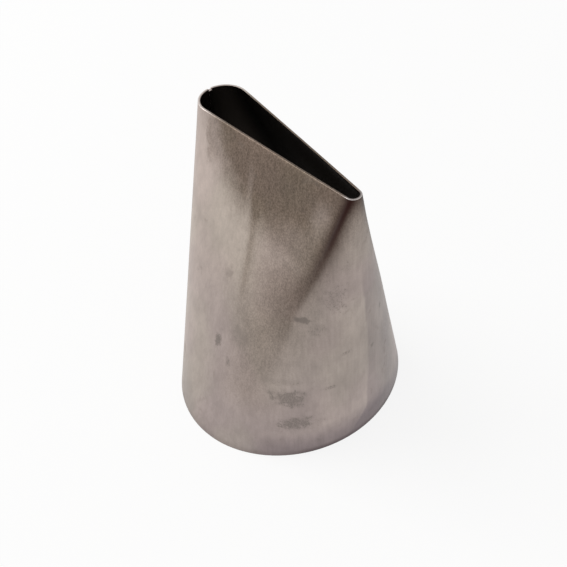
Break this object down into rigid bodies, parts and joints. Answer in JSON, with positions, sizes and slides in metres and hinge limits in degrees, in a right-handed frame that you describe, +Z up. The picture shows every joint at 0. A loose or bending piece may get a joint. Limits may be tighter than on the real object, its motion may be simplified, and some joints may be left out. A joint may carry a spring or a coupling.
{
  "type": "piping nozzle",
  "caption": "Large petal piping nozzle: a thin steel cone with an oval base, pressed flat at the top into a long teardrop mouth, with creases under the narrow tip.",
  "frame": {"origin": "middle of the base, on the surface that the nozzle stands on", "axes": "+Z up from the base to the mouth, +X towards the narrow tip of the mouth, +Y across the flat flanks"},
  "size_m": [0.03, 0.033, 0.0415],
  "materials": {
    "sheet": "dull tumbled stainless sheet with fine polishing marks",
    "weld": "dull ground weld"
  },
  "bodies": {
    "root": {"nozzle_shell": "sheet", "seam_weld": "weld"}
  },
  "joints": []
}
